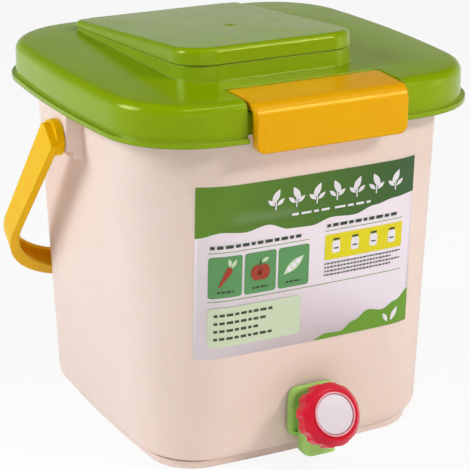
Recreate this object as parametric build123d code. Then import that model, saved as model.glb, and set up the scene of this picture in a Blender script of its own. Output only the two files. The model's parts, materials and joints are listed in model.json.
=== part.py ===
from build123d import *
import math
import os

# A twelve litre kitchen compost bin, in millimetres.
# The origin is the centre of the underside, +Z is up and the tap is at the front, on -Y.

# Plan of the bucket and lid: a square with bowed sides and round corners
lid_half = 135.6
lid_bow = 9.5
lid_corner = 60.0
wall_bow = 3.9
wall_corner_top = 68.0
wall_corner_foot = 48.0

# Bucket
lid_bottom = 236.8
wall_half_at_lid = 121.4
wall_draft = 2.89
wall = 2.6
rim_top = 248.5
foot_height = 5.5
foot_half = 101.5
foot_corner = 33.0
foot_round = 3.0
base_round = 13.5
floor_thickness = 2.8
rim_bead = 1.4
rim_bead_height = 3.5
flange_half = 125.3
flange_top = 245.0
flange_thickness = 2.2
flange_lip_bottom = 239.2

# Keeper that the latch hooks under
keeper_half_width = 38.0
keeper_half = 125.0
keeper_bottom = 233.6

# Lugs that carry the handle
pivot_y = -2.0
pivot_z = 217.5
lug_half_width = 13.0
lug_out = 132.8
lug_bottom = 210.0
lug_top_gap = 0.8
lug_step_out = 127.8
lug_step_drop = 5.5
lug_edge_round = 1.2
pivot_pin_radius = 5.0
pivot_pin_length = 9.5
pivot_fit = 0.1

# Lid
lip_height = 3.2
skirt_half = 132.8
skirt_top_half = 132.4
lid_top = 262.9
lid_crown = 1.0
lid_top_round = 7.0
lid_wall = 2.4
web_bottom = 252.0
web_thickness = 2.4
plug_half = 117.4
plug_bottom = 245.0
channel_wall = 1.8
channel_half = 126.9
channel_bottom = 249.3

# Lid seal
seal_inner_half = 118.2
seal_outer_half = 124.6

# Lid hinge at the back
hinge_y = 140.8
hinge_z = 241.0
hinge_barrel_radius = 4.2
hinge_pin_radius = 1.75
hinge_fit = 0.05
hinge_places = (-52.0, 52.0)
lid_knuckle_length = 20.0
bin_knuckle_length = 8.0
knuckle_gap = 0.4
bracket_thickness = 8.0
bracket_drop = 15.0
pin_head_gap = 0.3

# Latch
latch_half_width = 55.2
notch_half_width = 57.6
latch_axis_y = -101.0
latch_axis_z = 259.8
latch_barrel_radius = 3.6
latch_pin_radius = 1.5
latch_pin_reach = 62.0
latch_clearance = 0.5
latch_front = 138.9
latch_bottom = 230.4
latch_crest_drop = 1.6
latch_crest_round = 9.0
latch_wall = 2.5
latch_depth = 6.4
latch_foot_round = 6.0
hook_half_width = 36.0
hook_tip = 123.0
hook_thickness = 2.4
pocket_floor_drop = 0.7
pocket_front = 128.4
pocket_wall = 2.0
pocket_front_bottom = 241.0
pocket_round = 2.0

# Hatch in the lid
hatch_front = -79.5
hatch_back = 104.0
hatch_half_width = 66.0
hatch_middle_x = -9.0
hatch_corner = 24.0
hatch_rear_corner = 7.0
parting_front_z = 274.3
parting_back_z = 265.2
cap_top_front_z = 286.0
cap_top_back_z = 269.8
cap_overhang = 0.9
cap_draft = 8.0
cap_wall = 2.2
cap_top_round = 4.0
cap_gap = 0.4
plinth_draft = 6.0
deck_width = 13.0
collar_wall = 2.0
collar_height = 2.2
dimple_radius = 4.0
dimple_depth = 0.8
dimple_x = 7.5
dimple_y = 2.0
hatch_seal_width = 4.0
hatch_seal_gap = 0.7
hatch_seal_thickness = 2.0
hatch_barrel_radius = 2.5
hatch_pin_radius = 1.1
hatch_ear_half = 3.0
hatch_ear_root = 1.8
hatch_ear_places = (-48.0, -16.0, 16.0, 48.0)
hatch_pin_reach = 54.0

# Strainer
strainer_z = 64.0
strainer_thickness = 2.6
strainer_gap = 1.6
strainer_skirt = 6.0
strainer_hole_radius = 3.4
strainer_hole_pitch = 25.0
strainer_holes_each_way = 7
strainer_leg_radius = 9.0
strainer_leg_tip_radius = 7.0
strainer_leg_wall = 2.0
strainer_leg_place = 62.0
strainer_floor_gap = 0.3

# Tap, in its own frame: origin on the wall's outer face, outward along -Y
tap_z = 37.0
tap_flange_half = 18.0
tap_flange_corner = 7.0
tap_flange_thickness = 4.0
tap_flange_rim = 3.0
tap_flange_recess = 1.6
tap_gasket_thickness = 2.0
tap_gasket_half = 16.8
tap_inner_gasket_radius = 16.0
tap_inner_gap = 0.2
tap_barrel_radius = 10.0
tap_barrel_inside = 17.0
tap_hole_radius = 10.4
tap_inlet_radius = 5.5
tap_nut_flats = 30.0
tap_nut_thickness = 6.5
tap_nut_collar = 1.6
tap_knob_tilt = 26.5
tap_cross_out = 17.8
tap_housing_radius = 12.0
tap_housing_back = 13.0
tap_housing_front = 5.0
tap_bore_radius = 7.5
tap_bore_back = 8.5
tap_plug_fit = 0.05
tap_plug_port_radius = 4.6
tap_plug_port_top = 4.4
bonnet_thickness = 3.4
bonnet_radius = 11.4
bonnet_bore_radius = 5.6
o_ring_wire = 0.9
o_ring_places = (-6.2, 2.8)
stem_radius = 4.4
stem_flat = 3.4
stem_end = 15.0
knob_radius = 22.0
knob_front_radius = 17.6
knob_back = 5.4
knob_front = 19.4
knob_shoulder = 14.2
knob_wall = 2.4
knob_front_wall = 2.2
knob_hub_radius = 7.4
knob_grip_count = 12
knob_grip_radius = 5.0
knob_grip_depth = 1.5
knob_grip_end = 15.2
knob_ring_radius = 15.4
knob_ring_height = 0.9
disc_radius = 13.4
disc_gap = 0.35
disc_thickness = 1.6
disc_recess_edge = 0.4
knob_screw_radius = 1.5
knob_screw_length = 9.0
knob_screw_head_radius = 3.0
knob_screw_head_height = 1.6
spout_half_width = 11.8
spout_depth = 17.0
spout_out = 12.8
spout_top_out = 10.0
spout_bottom = -27.0
spout_corner = 5.0
spout_wall = 2.0

# Handle, drawn flat: reach is the distance from the pivot, side is across it
bail_arm_thickness = 5.8
bail_disc_radius = 12.6
bail_disc_length = 4.9
bail_disc_gap = 0.5
bail_reach = 194.0
bail_grip_thickness = 12.0
bail_corner = 88.0
bail_inner_corner = 80.0
bail_front_side = 12.0
bail_back_side = 8.8
bail_grip_back_side = 4.8
bail_taper_reach = 104.0
bail_end_reach = 9.0
bail_end_round = 3.5
bail_web = 2.2
bail_channel_start = 17.0
bail_hang = 47.0

# Label
label_left = -84.8
label_right = 77.0
label_bottom = 85.5
label_top = 205.9
label_thickness = 0.25
label_glue = 0.05

cut_over = 4.0
fuse_in = 0.6


def wall_half(z):
    """Half width of the bucket's outside at height z, in the middle of a side."""
    return wall_half_at_lid - (lid_bottom - z) * math.tan(math.radians(wall_draft))


def wall_corner_at(z):
    """Corner radius of the bucket's outside at height z."""
    rise_share = (z - foot_height) / (lid_bottom - foot_height)
    return wall_corner_foot + (wall_corner_top - wall_corner_foot) * rise_share


def plan(half, bow, corner, z=0):
    """A square face with bowed sides and round corners, at height z."""
    edge = half - bow
    corners = [(-edge, -edge), (edge, -edge), (edge, edge), (-edge, edge)]
    middles = [(0, -half), (half, 0), (0, half), (-half, 0)]
    sides = [
        ThreePointArc(corners[i], middles[i], corners[(i + 1) % len(corners)]) for i in range(len(corners))
    ]
    face = make_face(Curve() + sides)
    return Pos(0, 0, z) * fillet(face.vertices(), corner)


def ring(outer, inner, bow, corner, bottom, top):
    """A bowed square ring between two half widths and two heights; corner belongs to the outer edge."""
    solid = extrude(plan(outer, bow, corner, bottom), top - bottom)
    return solid - extrude(plan(inner, bow, corner - (outer - inner), bottom), top - bottom)


def rim_plate(half, bottom, top):
    """A plate that follows the bucket's rim at the given half width."""
    return extrude(plan(half, wall_bow, wall_corner_top + half - wall_half_at_lid, bottom), top - bottom)


def rim_ring(outer, inner, bottom, top):
    """A ring that follows the bucket's rim."""
    return rim_plate(outer, bottom, top) - rim_plate(inner, bottom, top)


def bucket_envelope(grow, bottom, top):
    """The tapered outside of the bucket, made larger or smaller by grow, between two heights."""
    sections = [plan(wall_half(z) + grow, wall_bow, wall_corner_at(z) + grow, z) for z in (bottom, top)]
    return loft(sections, ruled=True)


def box(x0, x1, y0, y1, z0, z1):
    """A box between the given planes."""
    return Pos((x0 + x1) / 2, (y0 + y1) / 2, (z0 + z1) / 2) * Box(x1 - x0, y1 - y0, z1 - z0)


def rod(radius, x0, x1, y, z):
    """A round rod along X."""
    return Pos((x0 + x1) / 2, y, z) * Rot(0, 90, 0) * Cylinder(radius, x1 - x0)


def along_x(points, x0, x1):
    """Extrude a closed outline of (y, z) points along X."""
    face = make_face(Polyline(*[(0, y, z) for y, z in points], close=True))
    return Pos(x0, 0, 0) * extrude(face, x1 - x0, dir=(1, 0, 0))


def bucket_cavity():
    """The room inside the bucket."""
    low = foot_height + floor_thickness
    main = bucket_envelope(-wall, low, rim_top + cut_over)
    main = fillet(main.faces().sort_by(Axis.Z)[0].edges(), base_round - wall)
    foot = extrude(plan(foot_half - wall, wall_bow, foot_corner - wall, floor_thickness), low)
    return main + foot


def hinge_bracket(x0, x1):
    """One rear arm that carries a knuckle of the lid hinge."""
    face_y = wall_half(hinge_z - bracket_drop) - wall / 2
    under_lip = lid_bottom - lug_top_gap
    outline = [
        (face_y, under_lip - bracket_drop),
        (hinge_y + hinge_barrel_radius, under_lip - bracket_thickness / 2),
        (hinge_y + hinge_barrel_radius, hinge_z),
        (hinge_y - hinge_barrel_radius, hinge_z),
        (hinge_y - hinge_barrel_radius, under_lip),
        (face_y, under_lip),
    ]
    return along_x(outline, x0, x1) + rod(hinge_barrel_radius, x0, x1, hinge_y, hinge_z)


def hinge_spans(place):
    """The X spans of the two bucket knuckles and of the lid knuckle at one hinge."""
    inner = lid_knuckle_length / 2
    outer = inner + knuckle_gap
    left = (place - outer - bin_knuckle_length, place - outer)
    right = (place + outer, place + outer + bin_knuckle_length)
    return left, right, (place - inner, place + inner)


def handle_lug():
    """The moulded block on the right wall that the handle turns in."""
    root = wall_half(lug_bottom - lug_step_drop) - wall / 2
    front, back = pivot_y - lug_half_width, pivot_y + lug_half_width
    block = box(root, lug_out, front, back, lug_bottom, lid_bottom - lug_top_gap)
    block = fillet(block.edges().filter_by(Axis.Z).sort_by(Axis.X)[-2:], lug_edge_round)
    step = box(root, lug_step_out, front, back, lug_bottom - lug_step_drop, lug_bottom)
    bore_end = lug_out - pivot_pin_length - cap_gap
    bore = rod(pivot_pin_radius + pivot_fit, bore_end, lug_out + cut_over, pivot_y, pivot_z)
    return block + step - bore


def bucket_body():
    """The bucket: tapered walls, stepped foot, rim, flange, lugs, hinge arms and keeper."""
    outside = bucket_envelope(0, foot_height, rim_top)
    outside = fillet(outside.faces().sort_by(Axis.Z)[0].edges(), base_round)
    foot = extrude(plan(foot_half, wall_bow, foot_corner), foot_height + fuse_in)
    foot = fillet(foot.faces().sort_by(Axis.Z)[0].edges(), foot_round)
    bead_half = wall_half(rim_top) + rim_bead
    body = outside + foot
    body += rim_plate(bead_half, rim_top - rim_bead_height, rim_top)
    lip_inner = flange_half - flange_thickness
    body += rim_plate(flange_half, flange_top - flange_thickness, flange_top)
    body += rim_ring(flange_half, lip_inner, flange_lip_bottom, flange_top)
    keeper_inner = wall_half(keeper_bottom) - wall / 2
    body += box(
        -keeper_half_width, keeper_half_width, -keeper_half, -keeper_inner, keeper_bottom, flange_top - fuse_in
    )
    lug = handle_lug()
    for piece in (lug, mirror(lug, about=Plane.YZ)):
        body += piece
    for place in hinge_places:
        for span in hinge_spans(place)[:2]:
            body += hinge_bracket(*span)
    body -= bucket_cavity()
    hinge_reach = hinge_places[-1] + lid_knuckle_length + bin_knuckle_length
    body -= rod(hinge_pin_radius + hinge_fit, -hinge_reach, hinge_reach, hinge_y, hinge_z)
    hole = Rot(90, 0, 0) * Cylinder(tap_hole_radius, cut_over * 2 + wall)
    return body - tap_place() * hole


def tap_place():
    """Where the tap's own frame sits: square to the front wall at the tap's height."""
    return Pos(0, -wall_half(tap_z), tap_z) * Rot(wall_draft, 0, 0)


def front_label():
    """The printed film stuck to the front wall, a film of glue away from it."""
    skin = bucket_envelope(label_glue + label_thickness, foot_height, rim_top)
    skin -= bucket_envelope(label_glue, foot_height, rim_top)
    return skin & box(label_left, label_right, -lid_half, -foot_half / 2, label_bottom, label_top)


def strainer_plate():
    """The holed plate on hollow legs that keeps the scraps out of the liquid."""
    half = wall_half(strainer_z - strainer_skirt) - wall - strainer_gap
    corner = wall_corner_at(strainer_z) - wall - strainer_gap
    plate = extrude(plan(half, wall_bow, corner, strainer_z), strainer_thickness)
    plate += ring(half, half - strainer_thickness, wall_bow, corner, strainer_z - strainer_skirt, strainer_z)
    first = -(strainer_holes_each_way - 1) / 2
    hole = Cylinder(strainer_hole_radius, strainer_thickness * 3)
    leg_cell = round(strainer_leg_place / strainer_hole_pitch)
    leg_height = strainer_z - floor_thickness - strainer_floor_gap
    middle_z = strainer_z - leg_height / 2
    for i in range(strainer_holes_each_way):
        for j in range(strainer_holes_each_way):
            column, row = first + i, first + j
            if abs(column) == leg_cell and abs(row) == leg_cell:
                continue
            if abs(column) == -first and abs(row) == -first:
                continue
            plate -= Pos(column * strainer_hole_pitch, row * strainer_hole_pitch, strainer_z) * hole
    leg = Cone(strainer_leg_tip_radius, strainer_leg_radius, leg_height)
    leg -= Cone(
        strainer_leg_tip_radius - strainer_leg_wall, strainer_leg_radius - strainer_leg_wall, leg_height
    )
    for x in (-strainer_leg_place, strainer_leg_place):
        for y in (-strainer_leg_place, strainer_leg_place):
            plate += Pos(x, y, middle_z) * leg
    return plate


def lid_envelope(inset):
    """The outside of the lid above its lip, made smaller on every side by inset."""
    low = lid_bottom - cut_over if inset else lid_bottom
    corner = lid_corner - (lid_half - skirt_half) - inset
    low_half, top_half = skirt_half - inset, skirt_top_half - inset
    block = loft(
        [plan(low_half, lid_bow, corner, low), plan(top_half, lid_bow, corner, lid_top + cut_over)], ruled=True
    )
    reach = lid_half * math.sqrt(2) - (math.sqrt(2) - 1) * lid_corner
    dome_radius = (reach * reach + lid_crown * lid_crown) / (2 * lid_crown)
    dome = Pos(0, 0, lid_top + lid_crown - inset - dome_radius) * Sphere(dome_radius)
    block = block & dome
    top_edges = block.faces().sort_by(Axis.Z)[-1].edges()
    return fillet(top_edges, lid_top_round - inset)


def latch_pocket_outline(grow):
    """The pocket for the latch in side view; grow adds the pocket's own wall."""
    back = latch_axis_y + latch_barrel_radius + latch_clearance + grow
    floor = latch_axis_z - latch_barrel_radius - pocket_floor_drop - grow
    front = -pocket_front + grow
    outline = [
        (back, lid_top + lid_crown + cut_over),
        (back, floor),
        (front, floor),
        (front, lid_bottom - cut_over),
        (-lid_half - cut_over, lid_bottom - cut_over),
        (-lid_half - cut_over, lid_top + lid_crown + cut_over),
    ]
    half = notch_half_width + grow
    block = along_x(outline, -half, half)
    inner_corner = block.edges().filter_by(Axis.X).filter_by_position(Axis.Z, floor - fuse_in, floor + fuse_in)
    return fillet(inner_corner.sort_by(Axis.Y)[0], pocket_round + grow)


def slope_point(front_z, back_z, y):
    """Height at y on a plane that falls from the hatch's front to its back."""
    return front_z + (back_z - front_z) * (y - hatch_front) / (hatch_back - hatch_front)


def below_slope(front_z, back_z, drop=0):
    """Everything under the sloping plane through the given front and back heights."""
    y0, y1 = hatch_front - deck_width, hatch_back + deck_width
    low = plug_bottom
    outline = [
        (y0, low),
        (y1, low),
        (y1, slope_point(front_z, back_z, y1) - drop),
        (y0, slope_point(front_z, back_z, y0) - drop),
    ]
    reach = hatch_half_width + deck_width
    return along_x(outline, hatch_middle_x - reach, hatch_middle_x + reach)


def hatch_rod(radius, x0, x1):
    """A rod on the hatch's hinge axis; its ends are measured from the hatch's middle."""
    axis_y, axis_z = hatch_axis()
    return rod(radius, hatch_middle_x + x0, hatch_middle_x + x1, axis_y, axis_z)


def hatch_face(inset, z, rear_corner=hatch_corner):
    """The hatch's plan, a rectangle with round corners, made smaller by inset."""
    width = 2 * (hatch_half_width - inset)
    depth = hatch_back - hatch_front - 2 * inset
    middle = Pos(hatch_middle_x, (hatch_front + hatch_back) / 2, z)
    corners = Rectangle(width, depth).vertices().sort_by(Axis.Y)
    face = fillet(corners[:2], hatch_corner - inset)
    return middle * fillet(face.vertices().sort_by(Axis.Y)[-2:], rear_corner - inset)


def hatch_prism(inset, bottom, top, draft, rear_corner=hatch_corner):
    """A tapered block on the hatch's plan that is at its full size at the parting height."""
    lean = math.tan(math.radians(draft))
    base = hatch_face(inset + (bottom - parting_front_z) * lean, bottom, rear_corner)
    head = hatch_face(inset + (top - parting_front_z) * lean, top, rear_corner)
    return loft([base, head], ruled=True)


def lid_shell():
    """The lid: skirt and lip, latch pocket, hatch plinth, seal channel and hinge knuckles."""
    top = lid_top + lid_crown
    outer = lid_envelope(0)
    shell = outer - lid_envelope(lid_wall)
    lip_corner = lid_corner
    lip_inner = skirt_half - lid_wall
    shell += ring(lid_half, lip_inner, lid_bow, lip_corner, lid_bottom, lid_bottom + lip_height)

    room = lid_envelope(lid_wall / 2)
    plug_inner = plug_half - channel_wall
    walls = rim_ring(channel_half, channel_half - channel_wall, channel_bottom, top)
    walls += rim_ring(plug_half, plug_inner, plug_bottom, top)
    web = rim_ring(channel_half, plug_inner, web_bottom, web_bottom + web_thickness)
    shell += (walls + web) & room

    deck_top = below_slope(parting_front_z, parting_back_z)
    deck_under = below_slope(parting_front_z, parting_back_z, lid_wall)
    tall = cap_top_front_z
    rear = hatch_rear_corner
    plinth = hatch_prism(cap_overhang, lid_top - lid_wall, tall, plinth_draft, rear) & deck_top
    hollow = hatch_prism(cap_overhang + lid_wall, plug_bottom, tall, plinth_draft, rear) & deck_under
    opening = extrude(hatch_face(deck_width, plug_bottom), tall)
    collar = extrude(hatch_face(deck_width - collar_wall, lid_top), tall)
    collar = collar & below_slope(parting_front_z, parting_back_z, -collar_height)
    collar -= below_slope(parting_front_z, parting_back_z, lid_wall)
    shell = shell + plinth - hollow + collar - opening

    pocket = latch_pocket_outline(0)
    liner = latch_pocket_outline(pocket_wall) & lid_envelope(lid_wall / 2)
    liner &= box(-lid_half, lid_half, -lid_half, lid_half, lid_bottom, top)
    shell += liner
    boss_reach = latch_pin_reach + pocket_wall
    for x0, x1 in ((-boss_reach, -notch_half_width), (notch_half_width, boss_reach)):
        boss = rod(latch_barrel_radius, x0, x1, latch_axis_y, latch_axis_z)
        shell += boss & lid_envelope(0)
    shell -= pocket
    shell -= rod(
        latch_pin_radius + hinge_fit, -latch_pin_reach, latch_pin_reach, latch_axis_y, latch_axis_z
    )
    below_pocket = box(
        -notch_half_width, notch_half_width, -lid_half - cut_over, -pocket_front + pocket_wall + fuse_in,
        lid_bottom - cut_over, pocket_front_bottom,
    )
    shell -= below_pocket

    for place in hinge_places:
        x0, x1 = hinge_spans(place)[2]
        web_y = skirt_half - lid_wall / 2
        knuckle = along_x(
            [
                (web_y, hinge_z - hinge_barrel_radius),
                (hinge_y, hinge_z - hinge_barrel_radius),
                (hinge_y, hinge_z + hinge_barrel_radius),
                (web_y, hinge_z + 2 * hinge_barrel_radius),
            ],
            x0,
            x1,
        )
        shell += knuckle + rod(hinge_barrel_radius, x0, x1, hinge_y, hinge_z)
    hinge_reach = hinge_places[-1] + lid_knuckle_length
    shell -= rod(hinge_pin_radius + hinge_fit, -hinge_reach, hinge_reach, hinge_y, hinge_z)

    axis_y, axis_z = hatch_axis()
    clear = hatch_barrel_radius + cap_gap
    reach = hatch_half_width + cap_gap
    shell -= hatch_rod(clear, -reach, reach)
    for place in hatch_ear_places:
        x0, x1 = place - hatch_ear_half, place + hatch_ear_half
        foot = box(x0, x1, axis_y - hatch_ear_root, axis_y + hatch_ear_root, lid_top, axis_z)
        shell += Pos(hatch_middle_x, 0, 0) * foot + hatch_rod(hatch_barrel_radius, x0, x1)
    return shell - hatch_rod(hatch_pin_radius + hinge_fit, -hatch_pin_reach, hatch_pin_reach)


def hatch_axis():
    """The (y, z) place of the hatch's hinge, in the cap's rounded back edge."""
    y = hatch_back - hatch_barrel_radius / 2
    return y, slope_point(cap_top_front_z, cap_top_back_z, y) - hatch_barrel_radius


def lid_gasket():
    """The square seal that sits in the lid's channel and rests on the rim."""
    return rim_ring(seal_outer_half, seal_inner_half, rim_top, web_bottom)


def lid_hinge_pins():
    """The two steel pins of the lid hinge."""
    half = lid_knuckle_length / 2 + knuckle_gap + bin_knuckle_length - pin_head_gap
    return [rod(hinge_pin_radius, place - half, place + half, hinge_y, hinge_z) for place in hinge_places]


def latch_profile(inset):
    """The latch in side view: from the barrel over the crest and down the front."""
    top_z = latch_axis_z + latch_barrel_radius - inset
    crest_z = top_z - latch_crest_drop
    front_y = -latch_front + inset
    start = (0, latch_axis_y, top_z)
    crest = (0, front_y, crest_z)
    foot = (0, front_y, latch_bottom)
    foot_back = (0, -latch_front + latch_depth, latch_bottom)
    inner_corner = (0, -latch_front + latch_depth, latch_axis_z - latch_depth + latch_barrel_radius)
    back = (0, latch_axis_y, latch_axis_z - latch_depth + latch_barrel_radius)
    return start, crest, foot, foot_back, inner_corner, back


def latch_solid(inset, half):
    """A block on the latch's side view, made smaller by inset along its outside."""
    face = make_face(Polyline(*latch_profile(inset), close=True))
    block = Pos(-half, 0, 0) * extrude(face, 2 * half, dir=(1, 0, 0))
    corners = block.edges().filter_by(Axis.X)
    crest = corners.sort_by_distance((0, -latch_front, latch_axis_z + latch_barrel_radius))[0]
    return fillet(crest, latch_crest_round - inset)


def front_latch():
    """The snap latch: a rounded shell with a hinge barrel and a hook under its lower edge."""
    outer = latch_solid(0, latch_half_width)
    foot_corners = outer.edges().filter_by(Axis.Y).filter_by_position(
        Axis.Z, latch_bottom - fuse_in, latch_bottom + fuse_in
    )
    outer = fillet(foot_corners, latch_foot_round)
    inner = latch_solid(latch_wall, latch_half_width - latch_wall)
    shell = outer - Pos(0, latch_wall, -latch_wall) * inner - inner
    hook_top = latch_bottom + hook_thickness
    hook = box(
        -hook_half_width, hook_half_width, -latch_front + latch_wall / 2, -hook_tip, latch_bottom, hook_top
    )
    barrel = rod(latch_barrel_radius, -latch_half_width, latch_half_width, latch_axis_y, latch_axis_z)
    hole = rod(latch_pin_radius + hinge_fit, -latch_half_width, latch_half_width, latch_axis_y, latch_axis_z)
    return shell + hook + barrel - hole


def latch_pin():
    """The steel pin through the latch and the two walls of its pocket."""
    half = latch_pin_reach - pin_head_gap
    return rod(latch_pin_radius, -half, half, latch_axis_y, latch_axis_z)


def hatch_cap():
    """The wedge-shaped flap over the filling hatch."""
    above = cap_top_front_z + cut_over
    lower = below_slope(parting_front_z + cap_gap, parting_back_z + cap_gap)
    upper = below_slope(cap_top_front_z, cap_top_back_z)
    outer = hatch_prism(0, lid_top, above, cap_draft, hatch_rear_corner) & upper
    outer = fillet(outer.faces().sort_by(Axis.Z)[-1].edges(), cap_top_round)
    ceiling = below_slope(cap_top_front_z, cap_top_back_z, cap_wall)
    inner = hatch_prism(cap_wall, lid_top - cap_wall, above, cap_draft, hatch_rear_corner) & ceiling
    cap = outer - inner

    inset = deck_width - collar_wall - hatch_seal_width - hatch_seal_gap
    keeper = hatch_prism(inset - collar_wall, lid_top, above, 0)
    keeper -= hatch_prism(inset, lid_top, above, 0)
    seat = below_slope(parting_front_z + cap_gap, parting_back_z + cap_gap, -hatch_seal_thickness)
    retainer = hatch_prism(inset, lid_top, above, 0) - hatch_prism(inset + hatch_seal_width, lid_top, above, 0)
    ribs = keeper + (retainer - seat)
    cap += ribs & (outer & upper)
    cap -= lower

    axis_y = hatch_axis()[0]
    reach = hatch_half_width + cap_gap
    behind = box(
        hatch_middle_x - reach, hatch_middle_x + reach, axis_y, hatch_back + deck_width, lid_top, above
    )
    cap -= behind - hatch_rod(hatch_barrel_radius, -reach, reach)
    cap += hatch_rod(hatch_barrel_radius, -hatch_pin_reach, hatch_pin_reach)
    clear = hatch_barrel_radius + cap_gap
    for place in hatch_ear_places:
        half = hatch_ear_half + knuckle_gap
        cap -= hatch_rod(clear, place - half, place + half)
    cap -= hatch_rod(hatch_pin_radius + hinge_fit, -hatch_pin_reach, hatch_pin_reach)

    dimple_z = slope_point(cap_top_front_z, cap_top_back_z, dimple_y)
    slope = math.degrees(math.atan2(cap_top_front_z - cap_top_back_z, hatch_back - hatch_front))
    dimple_middle = Pos(hatch_middle_x + dimple_x, dimple_y, dimple_z)
    cap -= dimple_middle * Rot(-slope, 0, 0) * Cylinder(dimple_radius, 2 * dimple_depth)
    return cap


def hatch_gasket():
    """The seal inside the hatch cap, around the collar of the opening."""
    inset = deck_width - collar_wall - hatch_seal_width - hatch_seal_gap
    above = cap_top_front_z
    seal = hatch_prism(inset, lid_top, above, 0) - hatch_prism(inset + hatch_seal_width, lid_top, above, 0)
    top = below_slope(parting_front_z + cap_gap, parting_back_z + cap_gap, -hatch_seal_thickness)
    bottom = below_slope(parting_front_z + cap_gap, parting_back_z + cap_gap)
    return seal & top - bottom


def hatch_hinge_pin():
    """The wire pin of the hatch hinge."""
    half = hatch_pin_reach - pin_head_gap
    return hatch_rod(hatch_pin_radius, -half, half)


def tap_axis_place():
    """Frame of the tilted valve in the tap's own frame: its +Z runs out through the knob."""
    return Pos(0, -tap_cross_out, 0) * Rot(90 - tap_knob_tilt - wall_draft, 0, 0)


def valve_rod(radius, start, end):
    """A rod along the valve's axis, in the tap's own frame."""
    return tap_axis_place() * Pos(0, 0, (start + end) / 2) * Cylinder(radius, end - start)


def along_wall_axis(radius, start, end):
    """A rod square to the wall, in the tap's own frame; distances are measured outward."""
    return Pos(0, -(start + end) / 2, 0) * Rot(90, 0, 0) * Cylinder(radius, end - start)


def wall_plate(half, corner, start, end):
    """A rounded square plate flat on the wall, in the tap's own frame."""
    face = Rot(90, 0, 0) * RectangleRounded(2 * half, 2 * half, corner)
    return Pos(0, -start, 0) * extrude(face, end - start, dir=(0, -1, 0))


def spout_face(inset, out, z):
    """Cross-section of the spout at one height."""
    width = 2 * (spout_half_width - inset)
    depth = spout_depth - 2 * inset
    return Pos(0, -out, z) * RectangleRounded(width, depth, spout_corner - inset)


def tap_body():
    """The tap's moulding: flange, threaded barrel, tilted valve housing and spout."""
    front = tap_gasket_thickness + tap_flange_thickness
    flange = wall_plate(tap_flange_half, tap_flange_corner, tap_gasket_thickness, front)
    flange -= wall_plate(
        tap_flange_half - tap_flange_rim, tap_flange_corner - tap_flange_rim, front - tap_flange_recess, front
    )
    barrel = along_wall_axis(tap_barrel_radius, -tap_barrel_inside, tap_gasket_thickness + fuse_in)
    housing = valve_rod(tap_housing_radius, -tap_housing_back, tap_housing_front)
    link = along_wall_axis(tap_housing_radius, tap_gasket_thickness + fuse_in, tap_cross_out / 2)
    spout = loft([spout_face(0, spout_top_out, 0), spout_face(0, spout_out, spout_bottom)], ruled=True)
    body = flange + barrel + housing + link + spout
    outside = along_wall_axis(tap_flange_half * 2, tap_gasket_thickness, knob_radius * 2)
    inside = along_wall_axis(tap_barrel_radius, -tap_barrel_inside, tap_gasket_thickness + fuse_in)
    body = body & (outside + inside)
    body -= valve_rod(tap_bore_radius, -tap_bore_back, tap_housing_front + cut_over)
    body -= along_wall_axis(tap_inlet_radius, -tap_barrel_inside, tap_cross_out - tap_inlet_radius)
    drain = loft(
        [
            spout_face(spout_wall, spout_top_out, -tap_inlet_radius),
            spout_face(spout_wall, spout_out, spout_bottom),
        ],
        ruled=True,
    )
    return body - drain


def tap_outer_gasket():
    """The rubber washer between the tap's flange and the wall."""
    washer = wall_plate(tap_gasket_half, tap_flange_corner, 0, tap_gasket_thickness)
    return washer - along_wall_axis(tap_hole_radius, 0, tap_gasket_thickness)


def inner_face():
    """Distance inward from the wall's outer face to where the inner washer starts."""
    return wall + tap_inner_gap


def tap_inner_gasket():
    """The rubber washer under the lock nut."""
    start, end = -inner_face() - tap_gasket_thickness, -inner_face()
    washer = along_wall_axis(tap_inner_gasket_radius, start, end)
    return washer - along_wall_axis(tap_hole_radius, start, end)


def tap_lock_nut():
    """The hexagonal nut that clamps the tap from inside the bucket."""
    end = -inner_face() - tap_gasket_thickness
    start = end - tap_nut_thickness
    hexagon = Rot(90, 0, 0) * RegularPolygon(tap_nut_flats / 2, 6, major_radius=False)
    nut = Pos(0, -start, 0) * extrude(hexagon, tap_nut_thickness, dir=(0, -1, 0))
    nut += along_wall_axis(tap_inner_gasket_radius, end - tap_nut_collar, end)
    return nut - along_wall_axis(tap_barrel_radius + tap_plug_fit, start, end)


def tap_bonnet_ring():
    """The ring that closes the valve housing around the stem."""
    end = tap_housing_front + bonnet_thickness
    ring_body = valve_rod(bonnet_radius, tap_housing_front, end)
    return ring_body - valve_rod(bonnet_bore_radius, tap_housing_front, end)


def plug_radius():
    """Radius of the plug that turns in the valve bore."""
    return tap_bore_radius - tap_plug_fit


def tap_plug():
    """The hollow plug with its side port, and the stem that the knob turns."""
    base, shoulder = -tap_bore_back + cap_gap, tap_housing_front - tap_plug_fit
    plug = valve_rod(plug_radius(), base, shoulder)
    plug += valve_rod(stem_radius, shoulder, stem_end)
    plug -= valve_rod(tap_plug_port_radius, base, tap_plug_port_top - tap_plug_port_radius / 2)
    port = Pos(plug_radius() / 2, 0, 0) * Rot(0, 90, 0) * Cylinder(tap_plug_port_radius, plug_radius())
    plug -= tap_axis_place() * Pos(0, 0, -fuse_in) * port
    for place in o_ring_places:
        plug -= tap_axis_place() * Pos(0, 0, place) * Torus(plug_radius() - o_ring_wire / 2, o_ring_wire)
    flat_cut = Box(2 * stem_radius, stem_radius, stem_end - knob_back)
    flat_place = Pos(0, stem_flat + stem_radius / 2, (stem_end + knob_back) / 2 + knob_wall)
    plug -= tap_axis_place() * flat_place * flat_cut
    return plug - valve_rod(knob_screw_radius, stem_end - knob_screw_length, stem_end)


def plug_o_rings():
    """The two seals in the plug's grooves."""
    wire = o_ring_wire - tap_plug_fit / 2
    return [
        tap_axis_place() * Pos(0, 0, place) * Torus(plug_radius() - o_ring_wire / 2 - tap_plug_fit, wire / 2)
        for place in o_ring_places
    ]


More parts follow.
